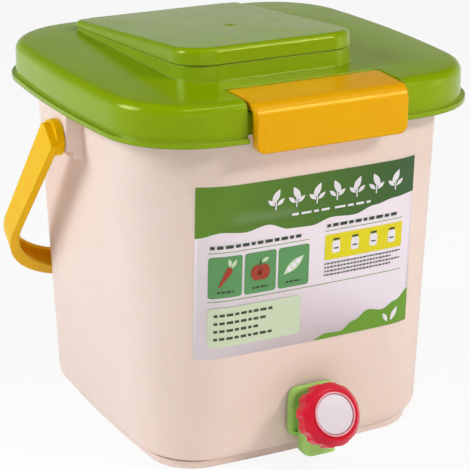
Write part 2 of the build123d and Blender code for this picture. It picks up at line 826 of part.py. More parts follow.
def knob_solid():
    """The knob's outside as a turned shape, along +Z."""
    outline = [
        (0, knob_back),
        (knob_radius, knob_back),
        (knob_radius, knob_shoulder),
        (knob_front_radius, knob_front),
        (0, knob_front),
    ]
    face = make_face(Polyline(*[(r, 0, z) for r, z in outline], close=True))
    solid = revolve(face, Axis.Z)
    rims = solid.edges().filter_by(GeomType.CIRCLE).group_by(Axis.Z)
    return fillet(rims[1] + rims[2], knob_wall)


def tap_knob():
    """The scalloped knob with its hub and the raised ring round the disc."""
    knob = knob_solid()
    groove = Cylinder(knob_grip_radius, knob_grip_end - knob_back + cut_over)
    out = knob_radius + knob_grip_radius - knob_grip_depth
    for index in range(knob_grip_count):
        turn = Rot(0, 0, index * 360 / knob_grip_count)
        knob -= turn * Pos(out, 0, (knob_grip_end + knob_back - cut_over) / 2) * groove
    knob += Pos(0, 0, knob_front + knob_ring_height / 2 - fuse_in / 2) * Cylinder(
        knob_ring_radius, knob_ring_height + fuse_in
    )
    recess_floor = knob_front - disc_thickness
    knob -= Pos(0, 0, recess_floor + cut_over / 2) * Cylinder(disc_radius + disc_gap, cut_over)
    room_top = recess_floor - knob_front_wall
    room = Cylinder(knob_radius - knob_grip_depth - knob_wall, room_top - knob_back)
    knob -= Pos(0, 0, (room_top + knob_back) / 2) * room
    hub_low = tap_housing_front + bonnet_thickness + cap_gap
    knob += Pos(0, 0, (hub_low + recess_floor) / 2) * Cylinder(knob_hub_radius, recess_floor - hub_low)
    knob = tap_axis_place() * knob
    socket = valve_rod(stem_radius, hub_low, stem_end)
    flat = Box(2 * stem_radius, stem_radius, 2 * stem_end)
    socket -= tap_axis_place() * Pos(0, stem_flat + stem_radius / 2, stem_end) * flat
    well = stem_end + knob_front_wall / 2
    knob -= socket
    knob -= valve_rod(knob_screw_radius, stem_end, knob_front)
    return knob - valve_rod(knob_screw_head_radius + tap_plug_fit, well, knob_front)


def knob_screw():
    """The screw that holds the knob on the stem."""
    well = stem_end + knob_front_wall / 2
    low = stem_end - knob_screw_length
    head = valve_rod(knob_screw_head_radius, well, well + knob_screw_head_height / 2)
    return head + valve_rod(knob_screw_radius, low, well)


def knob_cap_disc():
    """The white disc that covers the screw."""
    bottom = knob_front - disc_thickness
    disc = Pos(0, 0, bottom + (disc_thickness + disc_recess_edge) / 2) * Cylinder(
        disc_radius, disc_thickness + disc_recess_edge
    )
    top_edge = disc.edges().filter_by(GeomType.CIRCLE).sort_by(Axis.Z)[-1]
    return tap_axis_place() * fillet(top_edge, disc_recess_edge)


def bail_inner_half():
    """Half the distance between the handle's arms, which lie on the discs outside the lugs."""
    return lug_out + bail_disc_gap + bail_disc_length


def bail_outline():
    """Inner and outer outlines of the flat handle: x across, y towards the grip."""
    inner_x = bail_inner_half()
    outer_x = inner_x + bail_arm_thickness
    outer_y, inner_y = bail_reach, bail_reach - bail_grip_thickness
    start = -bail_end_reach

    def corner(x, y, radius):
        middle = (x - radius * (1 - math.sqrt(0.5)), y - radius * (1 - math.sqrt(0.5)))
        return (x, y - radius), middle, (x - radius, y)

    def u_shape(x, y, radius):
        a, b, c = corner(x, y, radius)
        mirrored = [(-px, py) for px, py in (c, b, a)]
        return (
            Line((x, start), a)
            + ThreePointArc(a, b, c)
            + Line(c, mirrored[0])
            + ThreePointArc(*mirrored)
            + Line(mirrored[2], (-x, start))
            + Line((-x, start), (x, start))
        )

    outer = make_face(u_shape(outer_x, outer_y, bail_corner))
    inner = make_face(u_shape(inner_x, inner_y, bail_inner_corner))
    web = make_face(u_shape(outer_x - bail_web, outer_y - bail_web, bail_corner - bail_web))
    return outer, inner, web


def bail_side(inset):
    """The handle in side view: a blunt end beyond the pivot and a back edge that tapers to the grip."""
    front, back, grip_back = -bail_front_side + inset, bail_back_side - inset, bail_grip_back_side - inset
    start, reach = inset - bail_end_reach, bail_reach + cut_over
    outline = [(start, front), (reach, front), (reach, grip_back), (bail_taper_reach, grip_back), (start, back)]
    x = bail_inner_half() + bail_arm_thickness + cut_over
    block = along_x(outline, -x, x)
    end_edges = block.edges().filter_by(Axis.X).sort_by(Axis.Y)[:2]
    return fillet(end_edges, bail_end_round - inset)


def bail_handle():
    """The carrying handle: a bail of open channel section with a disc and pin at each end."""
    outer, inner, web = bail_outline()
    tall = bail_front_side + bail_back_side
    frame = Pos(0, 0, -tall) * extrude(outer - inner, 2 * tall)
    frame = frame & bail_side(0)
    channel = Pos(0, 0, -tall) * extrude(web - inner, 2 * tall)
    inner_x = bail_inner_half()
    reach = inner_x + bail_arm_thickness + cut_over
    body_room = box(-reach, reach, bail_channel_start, bail_reach, -tall, tall)
    frame -= channel & bail_side(bail_web) & body_room
    for side in (-1, 1):
        disc_start = lug_out + bail_disc_gap
        disc = rod(bail_disc_radius, disc_start, inner_x + fuse_in, 0, 0)
        pin = rod(pivot_pin_radius, lug_out - pivot_pin_length, disc_start + fuse_in, 0, 0)
        end = disc + pin
        frame += end if side > 0 else mirror(end, about=Plane.YZ)
    return Pos(0, pivot_y, pivot_z) * Rot(-bail_hang, 0, 0) * frame


def in_tap_place(shape):
    """Set one piece, or each of a list, from the tap's own frame onto the front wall."""
    if isinstance(shape, list):
        return [tap_place() * piece for piece in shape]
    return tap_place() * shape


def write(name, shape):
    """Write one node as a STEP file; a list stays a group of separate solids."""
    pieces = shape if isinstance(shape, list) else [shape]
    solids = [solid for piece in pieces for solid in piece.solids()]
    item = solids[0] if len(solids) == 1 else Compound(children=solids)
    export_step(item, f"parts/{name}.step")


def main():
    os.makedirs("parts", exist_ok=True)
    for make in (
        bucket_body, front_label, strainer_plate, lid_shell, lid_gasket, lid_hinge_pins, front_latch,
        latch_pin, hatch_cap, hatch_gasket, hatch_hinge_pin, bail_handle,
    ):
        write(make.__name__, make())
    for make in (
        tap_body, tap_outer_gasket, tap_inner_gasket, tap_lock_nut, tap_bonnet_ring, tap_plug,
        plug_o_rings, tap_knob, knob_screw, knob_cap_disc,
    ):
        write(make.__name__, in_tap_place(make()))


if __name__ == "__main__":
    main()
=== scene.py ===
"""Looks for a twelve litre kitchen compost bin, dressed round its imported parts."""

import json
import logging
import math
from collections.abc import Sequence
from dataclasses import dataclass, field
from enum import Enum
from typing import Any

import bmesh
import bpy
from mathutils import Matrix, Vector
from mathutils.geometry import tessellate_polygon


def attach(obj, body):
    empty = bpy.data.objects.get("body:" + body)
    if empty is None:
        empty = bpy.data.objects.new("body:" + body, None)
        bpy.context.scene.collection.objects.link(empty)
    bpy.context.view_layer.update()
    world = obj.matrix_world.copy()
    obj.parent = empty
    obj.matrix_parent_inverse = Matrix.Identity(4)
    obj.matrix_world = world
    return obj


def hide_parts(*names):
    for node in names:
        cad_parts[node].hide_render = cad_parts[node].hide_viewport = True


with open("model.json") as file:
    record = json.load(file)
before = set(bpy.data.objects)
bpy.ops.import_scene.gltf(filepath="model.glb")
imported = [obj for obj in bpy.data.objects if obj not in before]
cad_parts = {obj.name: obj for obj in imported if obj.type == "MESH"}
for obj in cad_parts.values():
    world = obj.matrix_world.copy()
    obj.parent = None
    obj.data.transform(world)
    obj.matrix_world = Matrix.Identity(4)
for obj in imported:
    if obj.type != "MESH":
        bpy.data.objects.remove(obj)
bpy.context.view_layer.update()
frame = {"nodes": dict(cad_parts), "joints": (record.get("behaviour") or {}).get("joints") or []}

LOG = logging.getLogger("compost_bin")

Material = bpy.types.Material
Materials = dict[str, Material]
Tree = bpy.types.NodeTree
Socket = bpy.types.NodeSocket
Piece = bpy.types.Object
Place = tuple[float, float, float]
Point = tuple[float, float]
Size = tuple[float, float]
Outline = list[Point]

# Sockets that only a number tells apart: a Map Range's value with the range it comes in and the one
# it leaves in, and a Mix's share with its pair of numbers or of colours.
VALUE, FROM_LOW, FROM_HIGH, TO_LOW, TO_HIGH = range(5)
SHARE, NUMBER_A, NUMBER_B, COLOUR_A, COLOUR_B = 0, 2, 3, 6, 7
MIXED_COLOUR = 2
# The sockets of the node that shades a mesh smooth.
MESH, SELECTION, SMOOTH = range(3)


def mm(length: float) -> float:
    """Millimetres to Blender's metres."""
    return length / 1000.0


def per_mm(size: float) -> float:
    """Scale of a noise texture whose features are about this many millimetres across."""
    return 1000.0 / size


def linear(hex_colour: str) -> tuple[float, float, float, float]:
    """Turns an sRGB hex colour to linear.

    Args:
        hex_colour: six hex digits, such as "8fb31c".

    Returns:
        Linear red, green, blue and an alpha of one.
    """
    parts = [int(hex_colour[i:i + 2], 16) / 255 for i in (0, 2, 4)]
    red, green, blue = [p / 12.92 if p <= 0.04045 else ((p + 0.055) / 1.055) ** 2.4 for p in parts]
    return red, green, blue, 1.0


def add_node(
    tree: Tree, kind: str, inputs: dict[str | int, Any] | None = None, **settings: Any
) -> bpy.types.Node:
    """Adds one node with its settings and links.

    Args:
        tree: the node tree it goes in.
        kind: Blender's name for the node type.
        inputs: a constant, or an output socket to link, for each input by name or number.
        settings: attributes of the node itself.

    Returns:
        The new node.
    """
    node = tree.nodes.new(kind)
    for name, value in settings.items():
        setattr(node, name, value)
    for key, value in (inputs or {}).items():
        if isinstance(value, Socket):
            tree.links.new(value, node.inputs[key])
        else:
            node.inputs[key].default_value = value
    return node


def new_tree(name: str) -> tuple[Material, Tree]:
    """Makes an empty node material.

    Args:
        name: the material's name.

    Returns:
        The material and its cleared node tree.
    """
    material = bpy.data.materials.new(name)
    material.use_nodes = True
    material.node_tree.nodes.clear()
    return material, material.node_tree


def put_in_scene(name: str, data: bpy.types.ID) -> Piece:
    """Makes an object and links it to the scene.

    Args:
        name: the object's name.
        data: its mesh, light or camera.

    Returns:
        The new object.
    """
    thing = bpy.data.objects.new(name, data)
    bpy.context.scene.collection.objects.link(thing)
    return thing


@dataclass(frozen=True)
class MouldedPlastic:
    """A moulded plastic: pigment, gloss, and the marks that mould and use leave; sizes in mm."""

    name: str
    colour: str
    deep_colour: str
    roughness: float
    ior: float = 1.49
    # The reflection seen head-on: its level, and a tint towards the pigment, which keeps the pale
    # room from veiling the colour.
    shine: float = 0.5
    shine_colour: str = "ffffff"
    # Light that goes in and comes out again: its share, its depth, and how far each colour gets.
    milk: float = 0.0
    milk_depth: float = 3.0
    milk_reach: tuple[float, float, float] = (1.0, 0.72, 0.5)
    # The mould's orange peel. A real one is under 1 mm, and is drawn this coarse so that it shows.
    peel_size: float = 1.6
    peel_depth: float = 0.006
    # The slow sink marks that a thick moulding pulls in as it cools.
    sink_size: float = 60.0
    sink_depth: float = 0.05
    # Clouds of uneven pigment, and flecks a few peels wide that take a part in them.
    cloud_size: float = 46.0
    fleck_peels: float = 2.5
    fleck_share: float = 0.25
    # Edges: their radius, how many radii the rub of use reaches, and how far it pales the pigment.
    edge_round: float = 0.7
    rub_reach: float = 1.6
    rub: float = 0.08
    # The smears of hands, and what the smoothest and the dullest of them do to the roughness.
    smear_size: float = 22.0
    smear_gloss: tuple[float, float] = (0.86, 1.18)

    def material(self) -> Material:
        """Builds the node material.

        Returns:
            The finished material.
        """
        material, tree = new_tree(self.name)
        place = add_node(tree, "ShaderNodeTexCoord").outputs["Object"]
        rubbed = self.edge_rub(tree, self.pigment(tree, place))
        bent = self.surface(tree, place)
        gloss = self.gloss(tree, place)
        shader = add_node(
            tree, "ShaderNodeBsdfPrincipled",
            {
                "Base Color": rubbed, "Roughness": gloss, "Normal": bent, "IOR": self.ior,
                "Specular IOR Level": self.shine, "Specular Tint": linear(self.shine_colour),
                "Subsurface Weight": self.milk, "Subsurface Scale": mm(self.milk_depth),
                "Subsurface Radius": self.milk_reach,
            },
        )
        add_node(tree, "ShaderNodeOutputMaterial", {"Surface": shader.outputs[0]})
        return material

    def pigment(self, tree: Tree, place: Socket) -> Socket:
        """Mixes the two shades of the pigment in clouds and flecks.

        Args:
            tree: the material's tree.
            place: coordinates on the part, in metres.

        Returns:
            The pigment's colour.
        """
        cloud = add_node(
            tree, "ShaderNodeTexNoise",
            {"Vector": place, "Scale": per_mm(self.cloud_size), "Detail": 3.0, "Roughness": 0.6},
        )
        fleck_size = self.peel_size * self.fleck_peels
        fleck = add_node(
            tree, "ShaderNodeTexNoise",
            {"Vector": place, "Scale": per_mm(fleck_size), "Detail": 2.0, "Roughness": 0.5},
        )
        blend = add_node(
            tree, "ShaderNodeMix",
            {SHARE: self.fleck_share, NUMBER_A: cloud.outputs["Fac"], NUMBER_B: fleck.outputs["Fac"]},
            data_type="FLOAT",
        )
        share = add_node(
            tree, "ShaderNodeMapRange",
            {VALUE: blend.outputs[0], FROM_LOW: 0.30, FROM_HIGH: 0.70},
        )
        colour = add_node(
            tree, "ShaderNodeMix",
            {SHARE: share.outputs[0], COLOUR_A: linear(self.colour), COLOUR_B: linear(self.deep_colour)},
            data_type="RGBA",
        )
        return colour.outputs[MIXED_COLOUR]

    def edge_rub(self, tree: Tree, colour: Socket) -> Socket:
        """Lightens the pigment along edges, where handling rubs the plastic.

        Args:
            tree: the material's tree.
            colour: the pigment's colour.

        Returns:
            The rubbed colour.
        """
        reach = mm(self.edge_round * self.rub_reach)
        soft = add_node(tree, "ShaderNodeBevel", {"Radius": reach}, samples=4)
        true = add_node(tree, "ShaderNodeNewGeometry")
        same = add_node(
            tree, "ShaderNodeVectorMath", {0: soft.outputs[0], 1: true.outputs["Normal"]},
            operation="DOT_PRODUCT",
        )
        edge = add_node(
            tree, "ShaderNodeMapRange",
            {VALUE: same.outputs["Value"], FROM_LOW: 1.0, FROM_HIGH: 0.80, TO_HIGH: self.rub},
        )
        lit = add_node(
            tree, "ShaderNodeMix",
            {SHARE: edge.outputs[0], COLOUR_A: colour, COLOUR_B: linear("ffffff")},
            data_type="RGBA",
        )
        return lit.outputs[MIXED_COLOUR]

    def surface(self, tree: Tree, place: Socket) -> Socket:
        """Rounds the edges and adds the mould's fine peel and slow sink marks.

        Args:
            tree: the material's tree.
            place: coordinates on the part, in metres.

        Returns:
            The bent normal.
        """
        edge = add_node(tree, "ShaderNodeBevel", {"Radius": mm(self.edge_round)}, samples=6)
        sink = add_node(
            tree, "ShaderNodeTexNoise",
            {"Vector": place, "Scale": per_mm(self.sink_size), "Detail": 1.0, "Roughness": 0.4},
        )
        peel = add_node(
            tree, "ShaderNodeTexNoise",
            {"Vector": place, "Scale": per_mm(self.peel_size), "Detail": 2.0, "Roughness": 0.5},
        )
        slow = add_node(
            tree, "ShaderNodeBump",
            {"Distance": mm(self.sink_depth), "Height": sink.outputs["Fac"], "Normal": edge.outputs[0]},
        )
        fine = add_node(
            tree, "ShaderNodeBump",
            {"Distance": mm(self.peel_depth), "Height": peel.outputs["Fac"], "Normal": slow.outputs[0]},
        )
        return fine.outputs[0]

    def gloss(self, tree: Tree, place: Socket) -> Socket:
        """Varies the roughness with the smears that hands leave.

        Args:
            tree: the material's tree.
            place: coordinates on the part, in metres.

        Returns:
            The roughness.
        """
        smear = add_node(
            tree, "ShaderNodeTexNoise",
            {
                "Vector": place, "Scale": per_mm(self.smear_size), "Detail": 2.0, "Roughness": 0.5,
                "Distortion": 0.4,
            },
        )
        smooth, dull = (self.roughness * change for change in self.smear_gloss)
        rough = add_node(
            tree, "ShaderNodeMapRange",
            {VALUE: smear.outputs["Fac"], FROM_LOW: 0.1, FROM_HIGH: 0.9, TO_LOW: smooth, TO_HIGH: dull},
            interpolation_type="SMOOTHSTEP",
        )
        return rough.outputs[0]


@dataclass(frozen=True)
class SoftSeal:
    """A moulded rubber or silicone seal with a powdery face; sizes in mm."""

    name: str
    colour: str
    dusty_colour: str
    roughness: float = 0.62
    ior: float = 1.45
    dust_size: float = 9.0
    # The grain of a spark-eroded mould is near 0.1 mm, and is drawn this coarse so that it shows.
    grain_size: float = 0.9
    grain_depth: float = 0.02

    def material(self) -> Material:
        """Builds the node material.

        Returns:
            The finished material.
        """
        material, tree = new_tree(self.name)
        place = add_node(tree, "ShaderNodeTexCoord").outputs["Object"]
        dust = add_node(
            tree, "ShaderNodeTexNoise",
            {"Vector": place, "Scale": per_mm(self.dust_size), "Detail": 5.0, "Roughness": 0.65},
        )
        share = add_node(
            tree, "ShaderNodeMapRange",
            {VALUE: dust.outputs["Fac"], FROM_LOW: 0.4, FROM_HIGH: 0.75, TO_HIGH: 0.6},
        )
        colour = add_node(
            tree, "ShaderNodeMix",
            {
                SHARE: share.outputs[0], COLOUR_A: linear(self.colour),
                COLOUR_B: linear(self.dusty_colour),
            },
            data_type="RGBA",
        )
        grain = add_node(
            tree, "ShaderNodeTexNoise",
            {"Vector": place, "Scale": per_mm(self.grain_size), "Detail": 2.0},
        )
        bump = add_node(
            tree, "ShaderNodeBump", {"Distance": mm(self.grain_depth), "Height": grain.outputs["Fac"]}
        )
        rough = add_node(
            tree, "ShaderNodeMapRange",
            {
                VALUE: dust.outputs["Fac"], FROM_LOW: 0.3, FROM_HIGH: 0.7,
                TO_LOW: self.roughness - 0.08, TO_HIGH: self.roughness + 0.1,
            },
        )
        shader = add_node(
            tree, "ShaderNodeBsdfPrincipled",
            {
                "Base Color": colour.outputs[MIXED_COLOUR], "Roughness": rough.outputs[0],
                "Normal": bump.outputs[0], "IOR": self.ior,
            },
        )
        add_node(tree, "ShaderNodeOutputMaterial", {"Surface": shader.outputs[0]})
        return material


@dataclass(frozen=True)
class DrawnSteel:
    """Drawn and plated steel wire that lies along x, with fine lines along it; sizes in mm."""

    name: str
    colour: str
    dull_colour: str
    roughness: float = 0.28
    # The die's lines are near 0.05 mm apart, and are drawn this coarse so that they show.
    line_size: float = 0.5
    line_depth: float = 0.01
    line_squeeze: float = 0.04

    def material(self) -> Material:
        """Builds the node material.

        Returns:
            The finished material.
        """
        material, tree = new_tree(self.name)
        place = add_node(tree, "ShaderNodeTexCoord").outputs["Object"]
        along = add_node(
            tree, "ShaderNodeMapping", {"Vector": place, "Scale": (self.line_squeeze, 1.0, 1.0)}
        )
        lines = add_node(
            tree, "ShaderNodeTexNoise",
            {
                "Vector": along.outputs[0], "Scale": per_mm(self.line_size), "Detail": 3.0,
                "Roughness": 0.6,
            },
        )
        colour = add_node(
            tree, "ShaderNodeMix",
            {
                SHARE: lines.outputs["Fac"], COLOUR_A: linear(self.colour),
                COLOUR_B: linear(self.dull_colour),
            },
            data_type="RGBA",
        )
        rough = add_node(
            tree, "ShaderNodeMapRange",
            {
                VALUE: lines.outputs["Fac"], FROM_LOW: 0.3, FROM_HIGH: 0.7,
                TO_LOW: self.roughness * 0.8, TO_HIGH: self.roughness * 1.4,
            },
        )
        bump = add_node(
            tree, "ShaderNodeBump", {"Distance": mm(self.line_depth), "Height": lines.outputs["Fac"]}
        )
        shader = add_node(
            tree, "ShaderNodeBsdfPrincipled",
            {
                "Base Color": colour.outputs[MIXED_COLOUR], "Metallic": 1.0,
                "Roughness": rough.outputs[0], "Normal": bump.outputs[0],
            },
        )
        add_node(tree, "ShaderNodeOutputMaterial", {"Surface": shader.outputs[0]})
        return material


@dataclass(frozen=True)
class PrintedFilm:
    """Ink on a laminated film that runs from one shade at its left end to another; sizes in mm."""

    name: str
    colour: str
    far_colour: str
    left: float = -85.0
    right: float = 77.0
    roughness: float = 0.44
    ior: float = 1.49
    shine: float = 0.3
    # Print dots are near 0.1 mm, and are drawn this coarse so that they show.
    dot_size: float = 0.7
    dot_change: float = 0.06
    ripple_size: float = 60.0
    ripple_depth: float = 0.03

    def material(self) -> Material:
        """Builds the node material.

        Returns:
            The finished material.
        """
        material, tree = new_tree(self.name)
        place = add_node(tree, "ShaderNodeTexCoord").outputs["Object"]
        axes = add_node(tree, "ShaderNodeSeparateXYZ", {"Vector": place})
        across = add_node(
            tree, "ShaderNodeMapRange",
            {VALUE: axes.outputs["X"], FROM_LOW: mm(self.left), FROM_HIGH: mm(self.right)},
        )
        ink = add_node(
            tree, "ShaderNodeTexNoise",
            {"Vector": place, "Scale": per_mm(self.dot_size), "Detail": 2.0, "Roughness": 0.7},
        )
        uneven = add_node(
            tree, "ShaderNodeMapRange",
            {
                VALUE: ink.outputs["Fac"], FROM_LOW: 0.2, FROM_HIGH: 0.8,
                TO_LOW: -self.dot_change, TO_HIGH: self.dot_change,
            },
        )
        share = add_node(
            tree, "ShaderNodeMath", {0: across.outputs[0], 1: uneven.outputs[0]}, operation="ADD"
        )
        colour = add_node(
            tree, "ShaderNodeMix",
            {SHARE: share.outputs[0], COLOUR_A: linear(self.colour), COLOUR_B: linear(self.far_colour)},
            data_type="RGBA",
        )
        ripple = add_node(
            tree, "ShaderNodeTexNoise",
            {"Vector": place, "Scale": per_mm(self.ripple_size), "Detail": 1.0, "Roughness": 0.4},
        )
        bump = add_node(
            tree, "ShaderNodeBump", {"Distance": mm(self.ripple_depth), "Height": ripple.outputs["Fac"]}
        )
        rough = add_node(
            tree, "ShaderNodeMapRange",
            {
                VALUE: ripple.outputs["Fac"], FROM_LOW: 0.3, FROM_HIGH: 0.7,
                TO_LOW: self.roughness - 0.04, TO_HIGH: self.roughness + 0.06,
            },
        )
        shader = add_node(
            tree, "ShaderNodeBsdfPrincipled",
            {
                "Base Color": colour.outputs[MIXED_COLOUR], "Roughness": rough.outputs[0],
                "Normal": bump.outputs[0], "IOR": self.ior, "Specular IOR Level": self.shine,
            },
        )
        add_node(tree, "ShaderNodeOutputMaterial", {"Surface": shader.outputs[0]})
        return material


Finish = MouldedPlastic | SoftSeal | DrawnSteel | PrintedFilm

# The bucket: polypropylene with a little pink-cream pigment from a satin mould. Broad dull lights,
# and a milky depth that softens its shadows.
BUCKET_PLASTIC = MouldedPlastic(
    "polypropylene_cream_satin_moulded", "f6dfd4", "f3dbcf", roughness=0.42, ior=1.45,
    milk=0.25, milk_depth=4.0, peel_size=1.4, peel_depth=0.010, edge_round=0.5, rub=0.03,
)
# The lid and its hatch: green polypropylene from a polished mould. Sharp lights along its round edges.
LID_PLASTIC = MouldedPlastic(
    "polypropylene_leaf_green_gloss_moulded", "8ba900", "84a200", roughness=0.20,
    shine=0.42, shine_colour="ffff90", edge_round=1.5, rub=0.03, peel_size=2.4, peel_depth=0.002,
)
# The latch: amber polypropylene with the same polish. A broad light along its crest.
LATCH_PLASTIC = MouldedPlastic(
    "polypropylene_amber_gloss_moulded", "eeae00", "eaa800", roughness=0.30,
    shine=0.60, shine_colour="ffe078", edge_round=1.8, rub=0.0, peel_size=2.4, peel_depth=0.002,
)
# The handle: yellow polypropylene, softer in gloss than the latch. It glows a little where it is thin.
HANDLE_PLASTIC = MouldedPlastic(
    "polypropylene_yellow_gloss_moulded", "f6c200", "f2ba00", roughness=0.34, ior=1.40,
    shine=0.08, shine_colour="ffe070", milk=0.5, milk_depth=5.0, milk_reach=(1.0, 0.35, 0.05),
    edge_round=0.8, rub=0.02, peel_size=2.4, peel_depth=0.003,
)
# The tap: pale green polypropylene in thin walls, which light up a little from inside.
TAP_PLASTIC = MouldedPlastic(
    "polypropylene_pale_green_satin_moulded", "b0e078", "a8da6e", roughness=0.32,
    milk=0.4, milk_depth=3.5, edge_round=0.5,
)
# The knob: coral red polystyrene, hard and shiny, with small bright lights on its grips.
KNOB_PLASTIC = MouldedPlastic(
    "polystyrene_coral_red_gloss_moulded", "dc1c38", "d41832", roughness=0.22, ior=1.50,
    shine=0.3, shine_colour="ffc8d0", edge_round=0.4, rub=0.03,
)
# The bead on the knob's ring: the same red, paled to pink all round as a painted highlight along the
# ring's rounded top.
BEAD_PAINTED_HIGHLIGHT = MouldedPlastic(
    "polystyrene_coral_red_pale_painted_highlight", "eeb4bc", "e8a4ae", roughness=0.20, ior=1.50,
    edge_round=0.1, rub=0.0,
)
# The disc: white polystyrene with a satin face, on which the lights are only a soft sheen.
DISC_PLASTIC = MouldedPlastic(
    "polystyrene_white_satin_moulded", "eadfe8", "e6dbe4", roughness=0.40, ior=1.50,
    shine=0.3, edge_round=0.3, rub=0.0, sink_depth=0.03,
)
# The strainer: undyed polypropylene from a plain mould, matt and milky.
STRAINER_PLASTIC = MouldedPlastic(
    "polypropylene_natural_matt_moulded", "e4e0d6", "dcd7cb", roughness=0.48,
    milk=0.3, milk_depth=4.0,
)
# The valve's plug: white acetal, moulded smooth, with a waxy gloss.
PLUG_PLASTIC = MouldedPlastic(
    "acetal_white_moulded", "eeece6", "e6e3dc", roughness=0.30, ior=1.48, edge_round=0.3,
)
# The seals of the lid and the hatch: white silicone with a dry bloom that dulls it in patches.
SILICONE = SoftSeal("silicone_white_moulded", "e6e6e2", "d2d2cc", roughness=0.5)
# The tap's washers and rings: black nitrile rubber, greyed in patches by the mould's talc.
NITRILE = SoftSeal("nitrile_rubber_black_moulded", "1b1b1c", "3c3b3a")
# The pins and the screw: zinc plated steel wire, drawn. Bright, with long streaks along it.
WIRE = DrawnSteel("steel_zinc_plated_drawn", "c6c8cc", "9b9ea4")


class Ink(Enum):
    """The printed film and the inks on it, with their order from the wall out."""

    PAPER = 0
    GREEN = 1
    LEAF = 2
    TILE = 3
    YELLOW = 4
    PALE = 5
    WHITE = 6
    DARK = 7
    RED = 8


Motif = list[tuple[Ink, Outline]]

# Inks printed on polypropylene film under one clear laminate, so all share its low, even sheen. The
# deep green darkens towards the far end, and the rest hardly change.
INKS = {
    Ink.PAPER: PrintedFilm("polypropylene_film_white_laminated", "f6ecf3", "ede3ed"),
    Ink.GREEN: PrintedFilm("polypropylene_film_deep_green_printed", "648f24", "355a30"),
    Ink.LEAF: PrintedFilm("polypropylene_film_leaf_green_printed", "6fa02c", "6d9e2e"),
    Ink.TILE: PrintedFilm("polypropylene_film_tile_green_printed", "5f9a5f", "5f9a5f"),
    Ink.YELLOW: PrintedFilm("polypropylene_film_yellow_printed", "e8dc1e", "e6d81c"),
    Ink.PALE: PrintedFilm("polypropylene_film_pale_green_printed", "d3e2c2", "cddcbe"),
    Ink.WHITE: PrintedFilm("polypropylene_film_white_printed", "f6f2f6", "ece8ee"),
    Ink.DARK: PrintedFilm("polypropylene_film_dark_printed", "3c4a34", "344230"),
    Ink.RED: PrintedFilm("polypropylene_film_brick_red_printed", "a8402c", "a03c2a"),
}


def smooth_group(crease: float) -> Tree:
    """A modifier tree that shades faces smooth except across creases.

    Args:
        crease: the angle between faces, in degrees, that stays sharp.

    Returns:
        The node group, made once for each angle.
    """
    name = f"smooth_to_{crease:g}_degrees"
    if name in bpy.data.node_groups:
        return bpy.data.node_groups[name]
    tree = bpy.data.node_groups.new(name, "GeometryNodeTree")
    tree.interface.new_socket("Mesh", in_out="INPUT", socket_type="NodeSocketGeometry")
    tree.interface.new_socket("Mesh", in_out="OUTPUT", socket_type="NodeSocketGeometry")
    source = add_node(tree, "NodeGroupInput")
    angle = add_node(tree, "GeometryNodeInputMeshEdgeAngle")
    sharp = add_node(
        tree, "FunctionNodeCompare", {0: angle.outputs[0], 1: math.radians(crease)},
        data_type="FLOAT", operation="GREATER_THAN",
    )
    faces = add_node(
        tree, "GeometryNodeSetShadeSmooth", {MESH: source.outputs[0], SMOOTH: True}, domain="FACE"
    )
    edges = add_node(
        tree, "GeometryNodeSetShadeSmooth",
        {MESH: faces.outputs[0], SELECTION: sharp.outputs[0], SMOOTH: False}, domain="EDGE",
    )
    add_node(tree, "NodeGroupOutput", {0: edges.outputs[0]})
    return tree


@dataclass
class MouldedPart:
    """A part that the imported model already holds, given smooth faces and its finish."""

    node: str
    finish: Finish
    crease: float
    weld_gap: float = 0.004

    def dress(self, materials: Materials) -> Piece:
        """Welds, smooths and paints the part.

        Args:
            materials: finished materials by name; the part's own is added when it is new.

        Returns:
            The dressed part.
        """
        part = frame["nodes"][self.node]
        if self.finish.name not in materials:
            materials[self.finish.name] = self.finish.material()
        part.data.materials.clear()
        part.data.materials.append(materials[self.finish.name])
        weld = part.modifiers.new("weld", "WELD")
        weld.merge_threshold = mm(self.weld_gap)
        smooth = part.modifiers.new("smooth", "NODES")
        smooth.node_group = smooth_group(self.crease)
        return part


@dataclass
class FrontWall:
    """The bucket's front wall as the label sees it: a bowed side between two round corners, in mm."""

    half_at_lid: float = 121.4
    lid_height: float = 236.8
    draft: float = 2.89
    bow: float = 3.9
    corner_top: float = 68.0
    corner_foot: float = 48.0
    foot_height: float = 5.5

    def at(self, x: float, z: float, out: float) -> Place:
        """A point on the wall, or a little in front of it.

        Args:
            x: place across the wall.
            z: height.
            out: distance in front of the wall.

        Returns:
            The point in metres.
        """
        half = self.half_at_lid - (self.lid_height - z) * math.tan(math.radians(self.draft))
        rise = (z - self.foot_height) / (self.lid_height - self.foot_height)
        corner = self.corner_foot + (self.corner_top - self.corner_foot) * rise
        edge = half - self.bow
        radius = (edge * edge + self.bow * self.bow) / (2 * self.bow)
        shift = radius - half
        centre = (-shift + math.sqrt(2 * (radius - corner) ** 2 - shift * shift)) / 2
        if abs(x) <= centre * radius / (radius - corner):
            middle, reach = (0.0, shift), radius
        else:
            middle, reach = (math.copysign(centre, x), -centre), corner
        across = x - middle[0]
        y = middle[1] - math.sqrt(reach * reach - across * across)
        normal = Vector((across, y - middle[1])).normalized()
        return mm(x + out * normal.x), mm(y + out * normal.y), mm(z)


